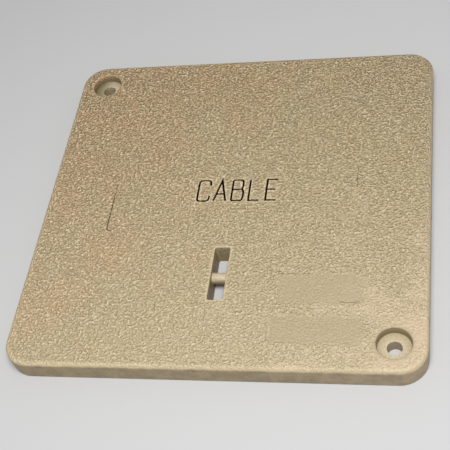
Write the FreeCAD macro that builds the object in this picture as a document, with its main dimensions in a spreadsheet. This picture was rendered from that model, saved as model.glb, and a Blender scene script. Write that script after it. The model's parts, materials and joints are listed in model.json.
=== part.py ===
import FreeCAD, Part
import os

import Sketcher

# Square cover of a small in-ground cable pit, cast in one piece from polymer concrete.
# It is a thick flat plate with rounded corners. Two opposite corners have a bolt hole
# sunk below a round seat, and near the front edge a lifting slot goes right through,
# with a round bar cast across its middle for the lifting hook.
# The frame: +X to the right, +Y to the back, +Z up, and the origin at the middle of the
# underside, where the cover rests on the pit's ledge.

NODE = "cover"

doc = FreeCAD.newDocument("cable_pit_cover")

# Driving sizes, in millimetres, and one angle in degrees

SIZES = (
    ("cover_length", 333.4, "walking face, left to right, 13 1/8 in"),
    ("cover_width", 333.4, "walking face, front to back, 13 1/8 in"),
    ("cover_thickness", 19.05, "underside to walking face, 3/4 in"),
    ("side_draft", 1.0, "degrees that the sides lean in towards the underside"),
    ("corner_radius", 22.2, "the four corners in plan, 7/8 in"),
    ("top_edge_round", 3.2, "round between the walking face and the sides, 1/8 in"),
    ("under_edge_round", 1.0, "small round along the underside"),
    ("bolt_inset", 25.4, "centre of a bolt hole to each of the two nearest sides, 1 in"),
    ("bolt_hole_diameter", 11.9, "clear of a 3/8 in bolt, 15/32 in"),
    ("seat_diameter", 27.0, "wall of the sunk round seat, 1 1/16 in"),
    ("seat_depth", 7.9, "walking face to the seat, 5/16 in"),
    ("seat_lip_round", 0.8, "round at the mouth of the seat, 1/32 in"),
    ("seat_root_round", 0.8, "round between the seat and its wall"),
    ("slot_length", 50.8, "lifting slot, front to back, 2 in"),
    ("slot_width", 12.7, "lifting slot, left to right, 1/2 in"),
    ("slot_corner_radius", 1.6, "the slot's four corners in plan, 1/16 in"),
    ("slot_offset", 79.0, "middle of the slot in front of the middle of the cover"),
    ("slot_lip_round", 0.5, "small round at the mouth of the slot"),
    ("lift_bar_diameter", 9.5, "bar across the slot, 3/8 in"),
    ("lift_bar_drop", 3.2, "top of the bar below the walking face, 1/8 in"),
    ("lift_bar_root_round", 0.9, "round where the bar grows out of the slot's walls"),
)

sizes = doc.addObject("Spreadsheet::Sheet", "sizes")
for row, (alias, value, meaning) in enumerate(SIZES, start=1):
    sizes.set(f"A{row}", meaning)
    sizes.set(f"B{row}", str(value))
    sizes.setAlias(f"B{row}", alias)
doc.recompute()

TOUCH = 1e-4

body = doc.addObject("PartDesign::Body", NODE)
body.Label = NODE


def origin_plane(role):
    """The plane of the body's own origin that has this role."""
    return next(plane for plane in body.Origin.OriginFeatures if plane.Role == role)


def new_sketch(name, role, height=None):
    """A sketch on an origin plane, raised to a height where one is given."""
    sketch = body.newObject("Sketcher::SketchObject", name)
    sketch.AttachmentSupport = [(origin_plane(role), "")]
    sketch.MapMode = "FlatFace"
    if height:
        sketch.setExpression("AttachmentOffset.Base.z", height)
    return sketch


def bind(sketch, constraint, name, expression):
    """Adds a constraint whose size follows an expression."""
    index = sketch.addConstraint(constraint)
    sketch.renameConstraint(index, name)
    sketch.setExpression("Constraints." + name, expression)


def add_rectangle(sketch, across, along, forward=None):
    """A rectangle centred on the sketch's origin, or set forward of it by a distance."""
    half_x = sizes.get(across) / 2
    half_y = sizes.get(along) / 2
    middle_y = -sizes.get(forward) if forward else 0.0
    corners = [
        FreeCAD.Vector(-half_x, middle_y - half_y, 0),
        FreeCAD.Vector(half_x, middle_y - half_y, 0),
        FreeCAD.Vector(half_x, middle_y + half_y, 0),
        FreeCAD.Vector(-half_x, middle_y + half_y, 0),
    ]
    for start, end in zip(corners, corners[1:] + corners[:1]):
        sketch.addGeometry(Part.LineSegment(start, end))
    for line in range(4):
        sketch.addConstraint(Sketcher.Constraint("Coincident", line, 2, (line + 1) % 4, 1))
    for line in (0, 2):
        sketch.addConstraint(Sketcher.Constraint("Horizontal", line))
        sketch.addConstraint(Sketcher.Constraint("Vertical", line + 1))
    middle = sketch.addGeometry(Part.Point(FreeCAD.Vector(0, middle_y, 0)), True)
    sketch.addConstraint(Sketcher.Constraint("Symmetric", 0, 1, 1, 2, middle, 1))
    if forward:
        sketch.addConstraint(Sketcher.Constraint("PointOnObject", middle, 1, -2))
        bind(sketch, Sketcher.Constraint("DistanceY", middle, 1, -1, 1, -middle_y),
             "forward", "sizes." + forward)
    else:
        sketch.addConstraint(Sketcher.Constraint("Coincident", middle, 1, -1, 1))
    bind(sketch, Sketcher.Constraint("DistanceX", 0, 1, 0, 2, 2 * half_x),
         "across", "sizes." + across)
    bind(sketch, Sketcher.Constraint("DistanceY", 1, 1, 1, 2, 2 * half_y),
         "along", "sizes." + along)


def edges_where(feature, wanted):
    """The names of a feature's edges that pass a test."""
    edges = feature.Shape.Edges
    return [f"Edge{n}" for n, edge in enumerate(edges, start=1) if wanted(edge)]


def add_fillet(name, base, wanted, radius):
    """Rounds the base's edges that pass a test, by a size from the sheet."""
    doc.recompute()
    names = edges_where(base, wanted)
    if not names:
        raise RuntimeError(f"{name}: no edge to round")
    fillet = body.newObject("PartDesign::Fillet", name)
    fillet.Base = (base, names)
    fillet.setExpression("Radius", "sizes." + radius)
    doc.recompute()
    return fillet


def lies_at(edge, height):
    """True for an edge that lies in the level plane at this height."""
    box = edge.BoundBox
    return abs(box.ZMin - height) < TOUCH and abs(box.ZMax - height) < TOUCH


def is_round(edge, radius, middle_x, middle_y):
    """True for a circle of this radius about an upright axis at this place."""
    curve = edge.Curve
    if not isinstance(curve, Part.Circle) or abs(curve.Radius - radius) > TOUCH:
        return False
    return abs(curve.Center.x - middle_x) < TOUCH and abs(curve.Center.y - middle_y) < TOUCH


def in_slot(edge):
    """True for an edge inside the plan of the lifting slot."""
    box = edge.BoundBox
    inside_x = max(-box.XMin, box.XMax) < sizes.slot_width / 2 + TOUCH
    inside_y = max(abs(box.YMin + sizes.slot_offset),
                   abs(box.YMax + sizes.slot_offset)) < sizes.slot_length / 2 + TOUCH
    return inside_x and inside_y


# The plate: its outline is drawn at the walking face and cast downwards with draft

plate_sketch = new_sketch("PlateOutline", "XY_Plane", "sizes.cover_thickness")
add_rectangle(plate_sketch, "cover_length", "cover_width")

plate = body.newObject("PartDesign::Pad", "Plate")
plate.Profile = plate_sketch
plate.Reversed = True
plate.setExpression("Length", "sizes.cover_thickness")
plate.setExpression("TaperAngle", "-sizes.side_draft")
doc.recompute()


def is_plate_corner(edge):
    """True for the four edges that run from the underside to the walking face."""
    return edge.BoundBox.ZLength > sizes.cover_thickness - TOUCH


corners = add_fillet("PlateCorners", plate, is_plate_corner, "corner_radius")
top_round = add_fillet("WalkingFaceEdge", corners,
                       lambda edge: lies_at(edge, sizes.cover_thickness), "top_edge_round")
under_round = add_fillet("UndersideEdge", top_round,
                         lambda edge: lies_at(edge, 0), "under_edge_round")

# The lifting slot, cut right through

slot_sketch = new_sketch("SlotOutline", "XY_Plane", "sizes.cover_thickness")
add_rectangle(slot_sketch, "slot_width", "slot_length", "slot_offset")

slot = body.newObject("PartDesign::Pocket", "LiftingSlot")
slot.Profile = slot_sketch
slot.Type = "ThroughAll"
before_slot = under_round.Shape.Volume
doc.recompute()


def is_slot_corner(edge):
    """True for the upright edges at the slot's four corners."""
    return in_slot(edge) and edge.BoundBox.ZLength > sizes.cover_thickness - TOUCH


slot_corners = add_fillet("SlotCorners", slot, is_slot_corner, "slot_corner_radius")

# The lifting bar, which crosses the slot from wall to wall and is one with them

bar_sketch = new_sketch("BarSection", "YZ_Plane")
bar_height = sizes.cover_thickness - sizes.lift_bar_drop - sizes.lift_bar_diameter / 2
bar_sketch.addGeometry(Part.Circle(
    FreeCAD.Vector(-sizes.slot_offset, bar_height, 0),
    FreeCAD.Vector(0, 0, 1),
    sizes.lift_bar_diameter / 2,
))
bind(bar_sketch, Sketcher.Constraint("Diameter", 0, sizes.lift_bar_diameter),
     "thickness", "sizes.lift_bar_diameter")
bind(bar_sketch, Sketcher.Constraint("DistanceX", 0, 3, -1, 1, sizes.slot_offset),
     "forward", "sizes.slot_offset")
bind(bar_sketch, Sketcher.Constraint("DistanceY", -1, 1, 0, 3, bar_height),
     "height", "sizes.cover_thickness - sizes.lift_bar_drop - sizes.lift_bar_diameter / 2")

bar = body.newObject("PartDesign::Pad", "LiftingBar")
bar.Profile = bar_sketch
bar.SideType = "Symmetric"
bar.setExpression("Length", "sizes.slot_width + sizes.lift_bar_diameter")
doc.recompute()


def is_bar_root(edge):
    """True for the two circles where the bar meets the slot's walls."""
    curve = edge.Curve
    if not isinstance(curve, Part.Circle) or abs(curve.Axis.x) < 1 - TOUCH:
        return False
    return abs(curve.Radius - sizes.lift_bar_diameter / 2) < TOUCH


bar_roots = add_fillet("BarRoots", bar, is_bar_root, "lift_bar_root_round")
slot_lip = add_fillet(
    "SlotLip", bar_roots,
    lambda edge: in_slot(edge) and lies_at(edge, sizes.cover_thickness), "slot_lip_round",
)

# The two bolt holes, each sunk below a round seat, at opposite corners

bolt_x = sizes.cover_length / 2 - sizes.bolt_inset
bolt_y = sizes.cover_width / 2 - sizes.bolt_inset

bolt_sketch = new_sketch("BoltCentres", "XY_Plane", "sizes.cover_thickness")
for side in (1, -1):
    bolt_sketch.addGeometry(Part.Circle(
        FreeCAD.Vector(side * bolt_x, -side * bolt_y, 0),
        FreeCAD.Vector(0, 0, 1),
        sizes.bolt_hole_diameter / 2,
    ))
bind(bolt_sketch, Sketcher.Constraint("Diameter", 0, sizes.bolt_hole_diameter),
     "bore", "sizes.bolt_hole_diameter")
bolt_sketch.addConstraint(Sketcher.Constraint("Equal", 0, 1))
bolt_sketch.addConstraint(Sketcher.Constraint("Symmetric", 0, 3, 1, 3, -1, 1))
bind(bolt_sketch, Sketcher.Constraint("DistanceX", -1, 1, 0, 3, bolt_x),
     "right", "sizes.cover_length / 2 - sizes.bolt_inset")
bind(bolt_sketch, Sketcher.Constraint("DistanceY", 0, 3, -1, 1, bolt_y),
     "forward", "sizes.cover_width / 2 - sizes.bolt_inset")
doc.recompute()

bolt_holes = body.newObject("PartDesign::Hole", "BoltHoles")
bolt_holes.Profile = bolt_sketch
bolt_holes.ThreadType = "None"
bolt_holes.DepthType = "ThroughAll"
bolt_holes.HoleCutType = "Counterbore"
bolt_holes.HoleCutCustomValues = True
bolt_holes.setExpression("Diameter", "sizes.bolt_hole_diameter")
bolt_holes.setExpression("HoleCutDiameter", "sizes.seat_diameter")
bolt_holes.setExpression("HoleCutDepth", "sizes.seat_depth")
doc.recompute()


def is_seat_circle(edge, height):
    """True for the circle of a seat's wall at this height."""
    if not lies_at(edge, height):
        return False
    return any(is_round(edge, sizes.seat_diameter / 2, side * bolt_x, -side * bolt_y)
               for side in (1, -1))


seat_height = sizes.cover_thickness - sizes.seat_depth
seat_lips = add_fillet("SeatLips", bolt_holes,
                       lambda edge: is_seat_circle(edge, sizes.cover_thickness),
                       "seat_lip_round")
seat_roots = add_fillet("SeatRoots", seat_lips,
                        lambda edge: is_seat_circle(edge, seat_height), "seat_root_round")

body.Tip = seat_roots
doc.recompute()

# The model is checked before it is written

for item in doc.Objects:
    if "Invalid" in item.State or "Error" in item.State:
        raise RuntimeError(f"{item.Label} failed: {item.State}")
if slot.Shape.Volume >= before_slot:
    raise RuntimeError("the lifting slot cuts nothing")
if bolt_holes.Shape.Volume >= slot_lip.Shape.Volume:
    raise RuntimeError("the bolt holes cut nothing")
if body.Shape.isNull() or not body.Shape.isValid() or len(body.Shape.Solids) != 1:
    raise RuntimeError("the cover is not one valid solid")

os.makedirs("parts", exist_ok=True)
body.Shape.exportStep(os.path.join("parts", NODE + ".step"))

box = body.Shape.BoundBox
print(f"{NODE}: {box.XLength:.2f} x {box.YLength:.2f} x {box.ZLength:.2f} mm,"
      f" {body.Shape.Volume / 1000:.1f} cm3, {len(body.Shape.Faces)} faces")
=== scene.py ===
"""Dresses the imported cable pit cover: one casting of tan polymer concrete, lying on a pale floor."""

import json
from math import radians

import bmesh
import bpy
from mathutils import Matrix, Vector, kdtree, noise

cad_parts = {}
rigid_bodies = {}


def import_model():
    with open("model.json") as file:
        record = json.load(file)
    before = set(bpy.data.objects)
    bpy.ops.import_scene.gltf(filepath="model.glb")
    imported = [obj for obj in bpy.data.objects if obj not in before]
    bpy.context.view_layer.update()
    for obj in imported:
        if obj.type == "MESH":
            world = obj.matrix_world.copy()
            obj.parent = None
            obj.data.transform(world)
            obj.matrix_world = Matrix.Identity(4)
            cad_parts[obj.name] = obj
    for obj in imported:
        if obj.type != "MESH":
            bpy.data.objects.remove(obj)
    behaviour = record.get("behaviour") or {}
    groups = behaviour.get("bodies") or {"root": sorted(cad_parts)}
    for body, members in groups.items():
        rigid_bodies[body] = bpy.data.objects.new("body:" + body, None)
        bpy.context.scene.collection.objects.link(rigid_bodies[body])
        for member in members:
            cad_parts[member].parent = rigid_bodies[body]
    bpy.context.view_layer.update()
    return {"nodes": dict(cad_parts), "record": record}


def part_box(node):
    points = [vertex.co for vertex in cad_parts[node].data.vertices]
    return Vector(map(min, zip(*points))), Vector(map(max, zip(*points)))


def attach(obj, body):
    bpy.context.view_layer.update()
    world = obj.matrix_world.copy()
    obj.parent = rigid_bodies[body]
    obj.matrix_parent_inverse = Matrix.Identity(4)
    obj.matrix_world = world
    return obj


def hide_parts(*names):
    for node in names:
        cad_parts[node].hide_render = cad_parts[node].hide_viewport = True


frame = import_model()


# The casting: plate, bolt seats, lifting slot and bar.
# The real cover is one piece of resin-bound sand, poured face down in a mould and lifted out of it. Its
# walls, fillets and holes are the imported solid's own, and this copy of that mesh takes the grained skin.

same_place = 1e-6
skin_pitch = 0.0011

low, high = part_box("cover")
walking_face = high.z

casting_mesh = frame["nodes"]["cover"].data.copy()
casting_mesh.name = "cover_casting"
casting_mesh.materials.clear()
casting_mesh.attributes.remove(casting_mesh.attributes["custom_normal"])
bm = bmesh.new()
bm.from_mesh(casting_mesh)
bmesh.ops.remove_doubles(bm, verts=bm.verts, dist=same_place)


def on_walking_face(face):
    """True for a face that lies flat in the plane people walk on."""
    return all(abs(corner.co.z - walking_face) < same_place for corner in face.verts)


def cut_into_strips(bm, faces, across, pitch):
    """Cuts faces into strips of one width, each plane only through what lies beyond the one before it."""
    axis = across.to_track_quat("X", "Z") @ Vector((1, 0, 0))  # across, at a length of 1
    places = [corner.co @ axis for face in faces for corner in face.verts]
    start, end = min(places), max(places)
    count = round((end - start) / pitch)
    beyond = faces
    for step in range(1, count):
        place = start + (end - start) * step / count
        parts = dict.fromkeys(beyond)
        parts.update(dict.fromkeys(edge for face in beyond for edge in face.edges))
        parts.update(dict.fromkeys(corner for face in beyond for corner in face.verts))
        cut = bmesh.ops.bisect_plane(
            bm, geom=list(parts), dist=same_place / 10, plane_co=axis * place, plane_no=axis
        )
        beyond = [
            part for part in cut["geom"]
            if isinstance(part, bmesh.types.BMFace) and part.calc_center_bounds() @ axis > place
        ]


# The solid's own triangles leave slanted edges in the first strips. They go before the second cut.
cut_into_strips(bm, list(filter(on_walking_face, bm.faces)), Vector((1, 0, 0)), skin_pitch)
slanted = [
    edge for edge in bm.edges
    if len(edge.link_faces) == 2
    and all(map(on_walking_face, edge.link_faces))
    and abs(edge.verts[0].co.x - edge.verts[1].co.x) > same_place
]
bmesh.ops.dissolve_edges(bm, edges=slanted, use_verts=True)
cut_into_strips(bm, list(filter(on_walking_face, bm.faces)), Vector((0, 1, 0)), skin_pitch)


# The grained skin of the walking face.
# Low folds about 2 mm across, which the mould's etched face leaves as a grip for shoes. They fade towards
# the rim, the seats and the slot, nearly vanish on two bare panels, and are a little worn at the front.

fold_size = 0.0022
fold_depth = 0.00062
worn_fold = 0.80

# A rate is how often a pattern repeats in one fold's size, and a shift sets the patterns apart.
fold_wander, wander_rate = 0.50, 0.5
small_fold, small_fold_rate, small_fold_shift = 0.35, 2.1, Vector((5.0, 1.0, 2.0))
bead_height, bead_rate, bead_shift = 0.30, 0.8, Vector((2.0, 6.0, 3.0))
bead_reach = 0.75
calm_middle, calm_swing, calm_rate, calm_shift = 0.75, 0.55, 0.22, Vector((1.0, 9.0, 4.0))
fold_lift = 0.05
valley_level, top_level = -0.48, 0.66

# noise_vector takes its own shift from this seed, and from the time of day where none is set.
fold_seed = 1
noise.seed_set(fold_seed)

cover_middle = Vector((0.0, 0.0))
rim_inset = 0.0032
rim_half = Vector((high.x - rim_inset, high.y - rim_inset))
rim_corner = 0.0190
rim_margin = 0.0006
seats = [
    Vector(mount["pos_m"][:2]) for mount in frame["record"]["mounts"] if mount["name"].startswith("seat_")
]
seat_lip = 0.0143
slot_middle = Vector((0.0, -0.0790))
slot_half = Vector((0.00685, 0.0259))
slot_corner = 0.0021
skin_fade = 0.0030

panels = (
    {"middle": Vector((0.0830, -0.0932)), "half": Vector((0.0330, 0.0137))},
    {"middle": Vector((0.0820, -0.1305)), "half": Vector((0.0350, 0.0125))},
)
panel_corner = 0.0020
panel_depth = 0.00010
panel_fade = 0.0048
panel_wander = 0.0022
panel_skin = 0.16


def ease(value, start, end):
    """0 before start, 1 after end, and a smooth rise between them."""
    share = min(max((value - start) / (end - start), 0.0), 1.0)
    return share * share * (3 - 2 * share)


def fade(value, start, end):
    """1 before start, 0 after end, and a smooth fall between them."""
    return 1.0 - ease(value, start, end)


def inside_rounded_box(place, middle, half, corner):
    """Distance from a place to the edge of a rounded rectangle, above 0 inside it."""
    x = abs(place.x - middle.x) - half.x + corner
    y = abs(place.y - middle.y) - half.y + corner
    return corner - min(max(x, y), 0.0) - Vector((max(x, 0.0), max(y, 0.0))).length


def inside_rim(place):
    """Distance from a place to the rim of the walking face, above 0 inside it."""
    return inside_rounded_box(place, cover_middle, rim_half, rim_corner)


def inside_panels(place):
    """Distance from a place to the uneven edge of the nearest smooth panel, above 0 inside it."""
    wander = noise.noise(Vector((place.x, place.y, 0.0)) / (4 * panel_wander)) * panel_wander
    return wander + max(inside_rounded_box(place, p["middle"], p["half"], panel_corner) for p in panels)


def from_slot_mouth(place):
    """Distance from a place to the mouth of the lifting slot, above 0 outside it."""
    return -inside_rounded_box(place, slot_middle, slot_half, slot_corner)


def from_seat_middle(place):
    """Distance from a place to the middle of the nearest bolt seat."""
    return min((place - seat).length for seat in seats)


def open_face(place, beyond_rim=0.0):
    """1 on the open walking face, falling to 0 at the rim, round the seats and round the slot."""
    share = ease(inside_rim(place), rim_margin - beyond_rim, rim_margin + skin_fade - beyond_rim)
    share *= ease(from_seat_middle(place) - seat_lip, -skin_fade / 2, skin_fade)
    return share * ease(from_slot_mouth(place), -skin_fade / 2, skin_fade)


def skin_share(place, beyond_rim=0.0):
    """How much of the skin's relief a place has: 1 on the open face, less on the borders and panels."""
    off_panels = ease(-inside_panels(place), -panel_fade / 2, panel_fade / 2)
    return open_face(place, beyond_rim) * (panel_skin + (1 - panel_skin) * off_panels)


def fold(place):
    """Height of the skin at a place, from 0 in a valley to 1 on a fold's top."""
    spot = Vector((place.x, place.y, 0.0)) / fold_size
    spot += noise.noise_vector(spot * wander_rate) * fold_wander
    folds = noise.noise(spot) + small_fold * noise.noise(spot * small_fold_rate + small_fold_shift)
    bead = fade(noise.voronoi(spot * bead_rate + bead_shift)[0][0], 0.0, bead_reach)
    calm = calm_middle + calm_swing * noise.noise(spot * calm_rate + calm_shift)
    return ease(calm * (folds + bead_height * bead) + fold_lift, valley_level, top_level)


skin = [corner for corner in bm.verts if corner.link_faces and all(map(on_walking_face, corner.link_faces))]
for corner in skin:
    place = corner.co.xy
    crispness = worn_fold + (1 - worn_fold) * ease(place.y, low.y, high.y)
    depth = skin_share(place) * crispness * fold_depth * (1 - fold(place))
    depth += ease(inside_panels(place), -panel_fade / 4, panel_fade / 4) * panel_depth
    corner.co.z -= depth

# Squares that the skin leaves flat are joined again.
flat_turn = radians(0.05)
flat_edges = [edge for edge in bm.edges if edge.link_faces and all(map(on_walking_face, edge.link_faces))]
bmesh.ops.dissolve_limit(
    bm, angle_limit=flat_turn, use_dissolve_boundaries=False, verts=[], edges=flat_edges, delimit=set()
)
bmesh.ops.recalc_face_normals(bm, faces=bm.faces)
bm.to_mesh(casting_mesh)
bm.free()

casting = bpy.data.objects.new("cover_casting", casting_mesh)
bpy.context.scene.collection.objects.link(casting)


# The incised word and the mould's witness lines.
# The mould carries thin raised bars, which leave a word cut into the face and, round the insert that held
# it, a faint line. The word here is a plain generic one. Two small pits show in the face as well.

cutters = bpy.data.collections.new("mould_bars")
bpy.context.scene.collection.children.link(cutters)

bend_steps = 6
bend_order = 3


def mould_bar(name, path, width, depth, rounded=False):
    """One bar along a path on the walking face, as a closed solid among the cutters."""
    curve = bpy.data.curves.new(name, "CURVE")
    curve.dimensions = "3D"
    curve.resolution_u = bend_steps
    curve.extrude = depth
    spline = curve.splines.new("NURBS" if rounded else "POLY")
    spline.points.add(len(path) - 1)
    for point, (x, y) in zip(spline.points, path):
        point.co = (x, y, walking_face, 1)
    if rounded:
        spline.order_u = bend_order
        spline.use_endpoint_u = True
    strip = bpy.data.objects.new(name, curve)
    bpy.context.scene.collection.objects.link(strip)
    bpy.context.view_layer.update()
    bar = bpy.data.objects.new(name, bpy.data.meshes.new_from_object(strip))
    bpy.data.objects.remove(strip)
    cutters.objects.link(bar)
    wall = bar.modifiers.new("wall", "SOLIDIFY")
    wall.thickness = width
    wall.offset = 0
    wall.use_even_offset = True


word = "CABLE"
letter_height = 0.0225
letter_width = 0.0104
letter_step = 0.0147
word_middle = Vector((0.0045, 0.0075))
word_groove = 0.0018
word_depth = 0.0017

# Each stroke runs through points in shares of the letter's width and height.
letter_strokes = {
    "C": [
        ("round", [
            (1, 0.74), (1, 1), (0.5, 1), (0, 1), (0, 0.7), (0, 0.3), (0, 0), (0.5, 0), (1, 0), (1, 0.26)
        ]),
    ],
    "A": [("straight", [(0, 0), (0.5, 1), (1, 0)]), ("straight", [(0.17, 0.33), (0.83, 0.33)])],
    "B": [
        ("straight", [(0.05, 0), (0.05, 1)]),
        ("round", [(0.05, 1), (0.6, 1), (0.92, 1), (0.92, 0.54), (0.6, 0.54), (0.05, 0.54)]),
        ("round", [(0.05, 0.54), (0.62, 0.54), (1, 0.54), (1, 0), (0.62, 0), (0.05, 0)]),
    ],
    "L": [("straight", [(0.08, 1), (0.08, 0), (0.95, 0)])],
    "E": [
        ("straight", [(0.95, 1), (0.08, 1), (0.08, 0), (0.95, 0)]),
        ("straight", [(0.08, 0.52), (0.82, 0.52)]),
    ],
}
word_half = (len(word) - 1) / 2 * letter_step + letter_width / 2
word_corner = word_middle - Vector((word_half, letter_height / 2))
for place_in_word, letter in enumerate(word):
    corner = word_corner + Vector((place_in_word * letter_step, 0))
    for number, (form, points) in enumerate(letter_strokes[letter]):
        path = [(corner.x + x * letter_width, corner.y + y * letter_height) for x, y in points]
        mould_bar(f"word_{place_in_word}_{number}", path, word_groove, word_depth, rounded=form == "round")

witness_depth = 0.0012
faint_line, thin_line, wide_line = 0.0004, 0.0005, 0.0009
line_left, line_right = -0.1051, 0.1060
mould_bar("line_left_upper", [(line_left, 0.0155), (line_left, 0.0040)], faint_line, witness_depth)
left_hook = [(line_left, 0.0042), (line_left, -0.0290), (line_left, -0.0345), (line_left + 0.0050, -0.0352)]
mould_bar("line_left", left_hook, wide_line, witness_depth, rounded=True)
mould_bar("line_right", [(line_right, 0.0300), (line_right, 0.0085)], faint_line, witness_depth)

line_gap = 0.0001
panel_back = panels[0]["middle"].y + panels[0]["half"].y + line_gap
for number, (start, end) in enumerate(((0.0485, 0.0640), (0.0690, 0.0735))):
    mould_bar(f"panel_line_{number}", [(start, panel_back), (end, panel_back)], thin_line, witness_depth)
panel_sag = [(0.0990, -0.1055), (0.1060, -0.1072), (0.1140, -0.1050)]
mould_bar("panel_line_bowed", panel_sag, thin_line, witness_depth, rounded=True)

pit_width = 0.0012
for number, pit in enumerate((Vector((0.0782, 0.0714)), Vector((0.1610, 0.1090)))):
    path = [(pit.x - pit_width / 2, pit.y), (pit.x + pit_width / 2, pit.y)]
    mould_bar(f"pit_{number}", path, pit_width, witness_depth)

cut = casting.modifiers.new("mould_bars", "BOOLEAN")
cut.operation = "DIFFERENCE"
cut.operand_type = "COLLECTION"
cut.collection = cutters
cut.solver = "MANIFOLD"
bpy.context.view_layer.update()
cut_mesh = bpy.data.meshes.new_from_object(casting.evaluated_get(bpy.context.evaluated_depsgraph_get()))
casting.modifiers.remove(cut)
casting.data = cut_mesh
bpy.data.meshes.remove(casting_mesh)
for bar in list(cutters.objects):
    bpy.data.objects.remove(bar)
bpy.data.collections.remove(cutters)


# Where the casting is worn and dirty, and where light and shade are painted.
# The rim, the slot's mouth, the word's edges, the seats' floors and the top of the bar are rubbed or swept
# pale, with a painted highlight on the rim, the word's edges and the bar's top and a painted sheen on the
# seats' floors. Grime and painted shade lie in the grooves, and the walls get painted shade. Each vertex
# keeps its share of each mark.

skin_bottom = (1.05 * word_depth, 1.60 * word_depth)
groove_start = (1.1 * fold_depth, 0.9 * word_depth)
groove_floor = (0.90 * word_depth, 1.05 * word_depth)
wall_start = (0.0006, 0.0024)
bore_reach, bore_share = 0.0075, 0.50
rim_pale_reach = (-0.0014, 0.0014)
mouth_pale_start, mouth_pale_end = (-0.0004, 0.0001), (0.0006, 0.0024)
lip_width = 0.0022
word_lip_reach = (0.2 * lip_width, lip_width)
word_lip_bottom = (0.0008, 0.0012)
upright = 0.5

# The left part of the back seat's floor is left out of the pale mark, so it keeps the walls' painted shade
# as a painted shadow.
seat_depth = 0.0079
seat_floor = (0.0001, 0.0003)
seat_root = (0.84 * seat_lip, 0.96 * seat_lip)
back_seat = min(seats, key=lambda seat: seat.x)
pale_from = (back_seat.x - 0.0095, back_seat.x + 0.0020)

bar_radius = 0.00475
bar_drop = 0.0032
bar_middle = Vector((slot_middle.y, walking_face - bar_drop - bar_radius))
bar_skin = (1.02 * bar_radius, 1.20 * bar_radius)
bar_top = (bar_middle.y + 0.05 * bar_radius, bar_middle.y + 0.85 * bar_radius)
bar_end = (0.9 * slot_half.x, slot_half.x)

word_edge = set()
for face in cut_mesh.polygons:
    depths = [walking_face - cut_mesh.vertices[corner].co.z for corner in face.vertices]
    if abs(face.normal.z) < upright and groove_floor[0] < max(depths) < groove_floor[1]:
        word_edge.update(corner for corner, depth in zip(face.vertices, depths) if depth < word_depth / 2)
nearest_edge = kdtree.KDTree(len(word_edge))
for corner in sorted(word_edge):
    nearest_edge.insert(cut_mesh.vertices[corner].co, corner)
nearest_edge.balance()

marks = {name: [] for name in ("skin", "groove", "side", "inside", "edge", "lip", "worn_and_lit")}
for point in cut_mesh.vertices:
    place = point.co.xy
    below = walking_face - point.co.z
    on_top = fade(below, *skin_bottom)
    on_wall = ease(below, *wall_start)
    skin_here = skin_share(place, beyond_rim=rim_inset) * on_top
    marks["skin"].append(skin_here)
    marks["groove"].append(skin_here * ease(below, *groove_start))

    # The side mark carries the outer walls' painted shade and stains, the inside mark the painted shade
    # inside the seats, slot and holes, half of it near the bores.
    from_rim = inside_rim(place)
    from_seat = from_seat_middle(place)
    in_bore = bore_share if from_seat < bore_reach else 1.0
    marks["side"].append(on_wall if from_rim < 0 else 0.0)
    marks["inside"].append(on_wall * in_bore if from_rim > 0 else 0.0)

    # The rim and the slot's mouth get a pale mark: wear, and on the rim a painted highlight.
    from_slot = from_slot_mouth(place)
    pale_mouth = ease(from_slot, *mouth_pale_start) * fade(from_slot, *mouth_pale_end)
    marks["edge"].append(max(fade(from_rim, *rim_pale_reach), pale_mouth) * on_top)
    # The word's lips get a pale mark: wear and a painted highlight.
    from_word = nearest_edge.find(point.co)[2]
    marks["lip"].append(fade(from_word, *word_lip_reach) * fade(below, *word_lip_bottom))

    # The seats' floors and the bar's top get a pale mark: sweeping and rubbing, with a painted sheen on the
    # floors and a painted highlight on the bar's top. The bar's underside keeps the inside mark's painted
    # shade.
    on_seat = fade(abs(below - seat_depth), *seat_floor) * fade(from_seat, *seat_root)
    on_seat *= ease(place.x, *pale_from)
    on_bar = fade((point.co.yz - bar_middle).length, *bar_skin) * ease(point.co.z, *bar_top)
    on_bar *= fade(abs(place.x), *bar_end)
    marks["worn_and_lit"].append(max(on_seat, on_bar))
for name, values in marks.items():
    cut_mesh.attributes.new(name, "FLOAT", "POINT").data.foreach_set("value", values)

sharp_turn = radians(55)
cut_mesh.shade_smooth()
cut_mesh.set_sharp_from_angle(angle=sharp_turn)
firm = casting.modifiers.new("flat_faces_stay_flat", "WEIGHTED_NORMAL")
firm.keep_sharp = True

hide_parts("cover")
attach(casting, "root")


# The casting's tint and its painted shade.
# Resin-bound sand is tan all through. This casting is warmer and pinkish towards the back left and paler
# towards the front right. Painted shade makes it darker at the left and front, on its smooth places and
# outer sides, and darkest inside its seats, slot and holes.


def add_node(tree, kind, **settings):
    """A new node in a tree, with its properties set."""
    made = tree.nodes.new(kind)
    for name, value in settings.items():
        setattr(made, name, value)
    return made


def plug(tree, source, socket):
    """Links a source to a socket, or sets the socket where the source is a plain value."""
    if isinstance(source, bpy.types.NodeSocket):
        tree.links.new(source, socket)
    else:
        socket.default_value = source


def feed(tree, made, **sources):
    """Sets or links a node's inputs by name. An underscore in a name stands for a space."""
    for name, source in sources.items():
        plug(tree, source, made.inputs[name.replace("_", " ")])


def blend_colours(tree, share, first, second, way="MIX"):
    """The colour between two others, by a share that changes over the surface."""
    mix = add_node(tree, "ShaderNodeMix", data_type="RGBA", blend_type=way)
    for place, source in ((0, share), (6, first), (7, second)):
        plug(tree, source, mix.inputs[place])
    return mix.outputs[2]


def darken(tree, share, colour, shade):
    """A colour multiplied by a shade, by a share that changes over the surface."""
    return blend_colours(tree, share, colour, shade, way="MULTIPLY")


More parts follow.
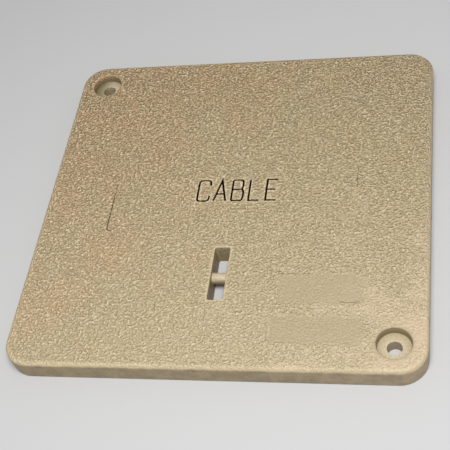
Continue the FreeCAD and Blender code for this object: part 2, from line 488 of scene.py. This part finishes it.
def combine(tree, operation, first, *others):
    """Values joined one after the other by one operation, such as their product."""
    result = first
    for other in others:
        made = add_node(tree, "ShaderNodeMath", operation=operation)
        plug(tree, result, made.inputs[0])
        plug(tree, other, made.inputs[1])
        result = made.outputs["Value"]
    return result


def spread(tree, value, low, high, to_low=0.0, to_high=1.0):
    """A value's range stretched to another one."""
    made = add_node(tree, "ShaderNodeMapRange")
    feed(tree, made, Value=value, From_Min=low, From_Max=high, To_Min=to_low, To_Max=to_high)
    return made.outputs["Result"]


def patches(tree, place, size, **settings):
    """A noise over the surface whose patches have one size."""
    made = add_node(tree, "ShaderNodeTexNoise")
    feed(tree, made, Vector=place, Scale=1 / size, **settings)
    return made.outputs["Fac"]


warm_tan = (0.585, 0.412, 0.214, 1)
plain_tan = (0.517, 0.426, 0.249, 1)
pale_tan = (0.556, 0.441, 0.292, 1)
pink_shade = (1.000, 0.940, 1.000, 1)
# The shades below are painted shade.
painted_left_shade = (0.925, 0.925, 0.925, 1)
painted_smooth_shade = (0.760, 0.760, 0.760, 1)
painted_front_shade = (0.900, 0.900, 0.900, 1)
painted_side_shade = (0.955, 0.905, 0.850, 1)
painted_inside_shade = (0.600, 0.535, 0.450, 1)
painted_dim_shade = (0.700, 0.760, 0.780, 1)

# A reach runs along the diagonal to the front right corner, from where a tint starts to where it is full.
to_front_right = (0.707, -0.707, 0.0)
tint_patch, tint_wander = 0.034, 0.080
warm_reach = (0.040, -0.160)
pale_reach = (0.085, 0.240)
pink_patch = 0.0130
pink_reach = (0.040, -0.120)
pink_range = (0.30, 0.70)
noise_range = (0.25, 0.75)
plain_edge = 0.6
painted_front_shade_right = 0.5
dim_from, dim_full = 0.2 * low.x, 0.8 * low.x

casting_material = bpy.data.materials.new("tan_polymer_concrete")
casting_material.use_nodes = True
tree = casting_material.node_tree
shader = tree.nodes["Principled BSDF"]
place = add_node(tree, "ShaderNodeTexCoord").outputs["Object"]
marked = {name: add_node(tree, "ShaderNodeAttribute", attribute_name=name).outputs["Fac"] for name in marks}

axes = add_node(tree, "ShaderNodeSeparateXYZ")
feed(tree, axes, Vector=place)
rightward = axes.outputs["X"]
back_here = spread(tree, axes.outputs["Y"], low.y, high.y)
diagonal = add_node(tree, "ShaderNodeVectorMath", operation="DOT_PRODUCT")
plug(tree, place, diagonal.inputs[0])
plug(tree, to_front_right, diagonal.inputs[1])
tint_noise = patches(tree, place, tint_patch, Detail=2.0)
wander = spread(tree, tint_noise, *noise_range, -tint_wander, tint_wander)
across_here = combine(tree, "ADD", diagonal.outputs["Value"], wander)

tint = blend_colours(tree, spread(tree, across_here, *warm_reach), plain_tan, warm_tan)
tint = blend_colours(tree, spread(tree, across_here, *pale_reach), tint, pale_tan)
pink_noise = spread(tree, patches(tree, place, pink_patch, Detail=2.0), *pink_range)
pink_here = combine(tree, "MULTIPLY", pink_noise, spread(tree, across_here, *pink_reach))
tint = darken(tree, pink_here, tint, pink_shade)
# Painted shade, darker towards the left.
tint = darken(tree, spread(tree, rightward, 0.0, low.x), tint, painted_left_shade)
edge_here = combine(tree, "MULTIPLY", marked["edge"], plain_edge)
plain_here = combine(tree, "MAXIMUM", marked["inside"], marked["worn_and_lit"], edge_here)
tint = blend_colours(tree, plain_here, tint, plain_tan)

# Painted shade on the smooth places, the outer sides and the walls, darker than the folded skin.
smooth_here = spread(tree, marked["skin"], 0.0, 1.0, 1.0, 0.0)
colour = darken(tree, smooth_here, tint, painted_smooth_shade)
# Painted shade towards the front, most at the front left, and not on the walls.
wall_here = combine(tree, "MAXIMUM", marked["side"], marked["inside"])
off_walls = spread(tree, wall_here, 0.0, 1.0, 1.0, 0.0)
front_here = spread(tree, back_here, 1.0, 0.0)
left_here = spread(tree, rightward, low.x, high.x, 1.0, painted_front_shade_right)
colour = darken(tree, combine(tree, "MULTIPLY", front_here, off_walls, left_here), colour, painted_front_shade)
# Painted shade on the outer sides.
colour = darken(tree, marked["side"], colour, painted_side_shade)
# Painted shade inside the seats, slot and holes, dimmer and greener inside towards the left.
colour = darken(tree, marked["inside"], colour, painted_inside_shade)
dim_here = combine(tree, "MULTIPLY", marked["inside"], spread(tree, rightward, dim_from, dim_full))
colour = darken(tree, dim_here, colour, painted_dim_shade)


# The fine folds of the skin, the wear on them and their painted light.
# Folds too small for the mesh lie over the moulded ones, pale on their tops from wear and painted
# highlight, and dark between from dust and painted shade. They are lower and fainter towards the front, and
# most of all at the front right. The rubbed places are pale, with painted highlight and sheen.

fine_fold = 0.0019
fine_fold_height = 0.0024
fine_fold_valley, fine_fold_dark = (0.45, 0.30), 0.40
fine_fold_top, fine_fold_pale = (0.58, 0.75), 0.80
faint_skin = 0.18
worn_relief, crisp_relief = 0.66, 1.60
worn_contrast, crisp_contrast = 0.20, 1.50
worn_shine, crisp_shine = 0.62, 1.50
left_contrast, right_contrast = 1.25, 0.75
corner_reach, corner_contrast = (0.110, 0.230), 0.55
smooth_reach, corner_relief = (0.140, 0.230), 0.50
left_rim_pale, right_rim_pale = 0.54, 0.26
word_lip_pale = 0.75
seat_pale, bar_pale = 0.56, 0.46
rubbed_and_lit_tan = (0.760, 0.620, 0.400, 1)
dust_and_shade_tan = (0.260, 0.190, 0.100, 1)
worn_and_lit_sand = (0.840, 0.735, 0.530, 1)

fold_noise = patches(tree, place, fine_fold, Detail=1.0, Roughness=0.45, Distortion=0.3)
height = spread(tree, fold_noise, *noise_range)
contrast_right = spread(tree, rightward, low.x, high.x, left_contrast, right_contrast)
contrast_corner = spread(tree, across_here, *corner_reach, 1.0, corner_contrast)
contrast_here = combine(tree, "MULTIPLY", contrast_right, contrast_corner)
valley_back = spread(tree, back_here, 0.0, 1.0, worn_contrast, crisp_contrast)
top_back = spread(tree, back_here, 0.0, 1.0, worn_shine, crisp_shine)
# Dark valleys are dust and painted shade, pale tops wear and painted highlight.
valleys = spread(tree, height, *fine_fold_valley, 0.0, fine_fold_dark)
tops = spread(tree, height, *fine_fold_top, 0.0, fine_fold_pale)
valley_here = combine(tree, "MULTIPLY", valley_back, marked["skin"], contrast_here, valleys)
top_here = combine(tree, "MULTIPLY", top_back, marked["skin"], contrast_here, tops)
colour = blend_colours(tree, valley_here, colour, dust_and_shade_tan)
colour = blend_colours(tree, top_here, colour, rubbed_and_lit_tan)

# A painted highlight with the wear on the rim, stronger at the left, and on the word's lips.
rim_pale = spread(tree, rightward, low.x, high.x, left_rim_pale, right_rim_pale)
colour = blend_colours(tree, combine(tree, "MULTIPLY", marked["edge"], rim_pale), colour, rubbed_and_lit_tan)
colour = blend_colours(tree, combine(tree, "MULTIPLY", marked["lip"], word_lip_pale), colour, rubbed_and_lit_tan)
# The seats' floors and the bar's top are pale from sweeping and rubbing, with a painted sheen on the floors
# and a painted highlight on the bar's top.
pale_share = spread(tree, rightward, low.x, 0.0, seat_pale, bar_pale)
colour = blend_colours(tree, combine(tree, "MULTIPLY", marked["worn_and_lit"], pale_share), colour, worn_and_lit_sand)

corner_here = spread(tree, across_here, *smooth_reach, 1.0, corner_relief)
relief_back = spread(tree, back_here, 0.0, 1.0, worn_relief, crisp_relief)
relief_skin = spread(tree, marked["skin"], 0.0, 1.0, faint_skin, 1.0)
relief_here = combine(tree, "MULTIPLY", relief_back, corner_here, relief_skin, height)
relief = add_node(tree, "ShaderNodeBump")
feed(tree, relief, Strength=1.0, Distance=fine_fold_height, Height=relief_here)


# Dust, stains and the finished surface.
# Single dark grains show in the sand, most on the smooth places. Damp has stained the outer sides, and
# grime and painted shade darken the grooves of the word and lines, where nothing shines. The rest has a
# dull sheen.

sand_grain, grain_range = 0.0011, (0.44, 0.72)
smooth_grains, skin_grains = 0.60, 0.15
side_stain, stain_range, stain_strength = 0.0090, (0.38, 0.66), 0.50
groove_brown_reach, groove_black_reach = (0.0, 0.65), (0.70, 1.0)
damp_stain = (0.160, 0.125, 0.080, 1)
groove_brown = (0.150, 0.085, 0.040, 1)
groove_black = (0.006, 0.005, 0.004, 1)
resin_roughness = 0.5
resin_gloss = 0.5

grains = spread(tree, patches(tree, place, sand_grain, Detail=2.0), *grain_range)
grain_share = spread(tree, marked["skin"], 0.0, 1.0, smooth_grains, skin_grains)
grain_here = combine(tree, "MULTIPLY", grain_share, corner_here, grains)
colour = blend_colours(tree, grain_here, colour, dust_and_shade_tan)
stain_noise = patches(tree, place, side_stain, Detail=3.0, Roughness=0.6)
stains = spread(tree, stain_noise, *stain_range, 0.0, stain_strength)
colour = blend_colours(tree, combine(tree, "MULTIPLY", stains, marked["side"]), colour, damp_stain)
# Grime and painted shade darken the grooves, brown first and near black at their floors.
colour = blend_colours(tree, spread(tree, marked["groove"], *groove_brown_reach), colour, groove_brown)
colour = blend_colours(tree, spread(tree, marked["groove"], *groove_black_reach), colour, groove_black)
gloss = spread(tree, marked["groove"], 0.0, 1.0, resin_gloss, 0.0)
feed(tree, shader, Base_Color=colour, Roughness=resin_roughness, Normal=relief.outputs["Normal"])
feed(tree, shader, Specular_IOR_Level=gloss)
cut_mesh.materials.clear()
cut_mesh.materials.append(casting_material)


# The floor, the light and the camera.
# A pale plain floor, one broad soft lamp high over the front right, and a camera that stands where the
# photograph was taken from.

floor_reach = 4.0
floor_grey = (0.5, 0.5, 0.5, 1)
floor_roughness = 0.9

floor_mesh = bpy.data.meshes.new("floor")
floor_shape = bmesh.new()
bmesh.ops.create_grid(floor_shape, x_segments=1, y_segments=1, size=floor_reach)
floor_shape.to_mesh(floor_mesh)
floor_shape.free()
floor = bpy.data.objects.new("floor", floor_mesh)
bpy.context.scene.collection.objects.link(floor)
floor_material = bpy.data.materials.new("pale_floor")
floor_material.use_nodes = True
floor_tree = floor_material.node_tree
feed(floor_tree, floor_tree.nodes["Principled BSDF"], Base_Color=floor_grey, Roughness=floor_roughness)
floor_mesh.materials.append(floor_material)

lamp_place = Vector((0.20, -0.46, 1.20))
lamp_size = 0.60
lamp_power = 17.0
lamp_data = bpy.data.lights.new("broad_lamp", "AREA")
lamp_data.shape = "DISK"
lamp_data.size = lamp_size
lamp_data.energy = lamp_power
lamp = bpy.data.objects.new("broad_lamp", lamp_data)
lamp.location = lamp_place
lamp.rotation_euler = (-lamp_place).to_track_quat("-Z", "Y").to_euler()
bpy.context.scene.collection.objects.link(lamp)

room_light = 0.40
room_white = (1, 1, 1, 1)
room = bpy.data.worlds.new("soft_room")
room.use_nodes = True
feed(room.node_tree, room.node_tree.nodes["Background"], Color=room_white, Strength=room_light)
bpy.context.scene.world = room
bpy.context.scene.view_settings.view_transform = "Standard"

camera_place = Vector((0.19151, -0.52822, 0.66301))
camera_aim = Vector((-0.0014, -0.0302, walking_face))
camera_roll = radians(-17.2)
camera_data = bpy.data.cameras.new("camera")
camera_data.sensor_width = 36
camera_data.lens = 80.425
camera = bpy.data.objects.new("camera", camera_data)
camera.location = camera_place
facing = (camera_aim - camera_place).to_track_quat("-Z", "Y").to_matrix().to_4x4()
camera.rotation_euler = (facing @ Matrix.Rotation(camera_roll, 4, "Z")).to_euler()
bpy.context.scene.collection.objects.link(camera)
bpy.context.scene.camera = camera
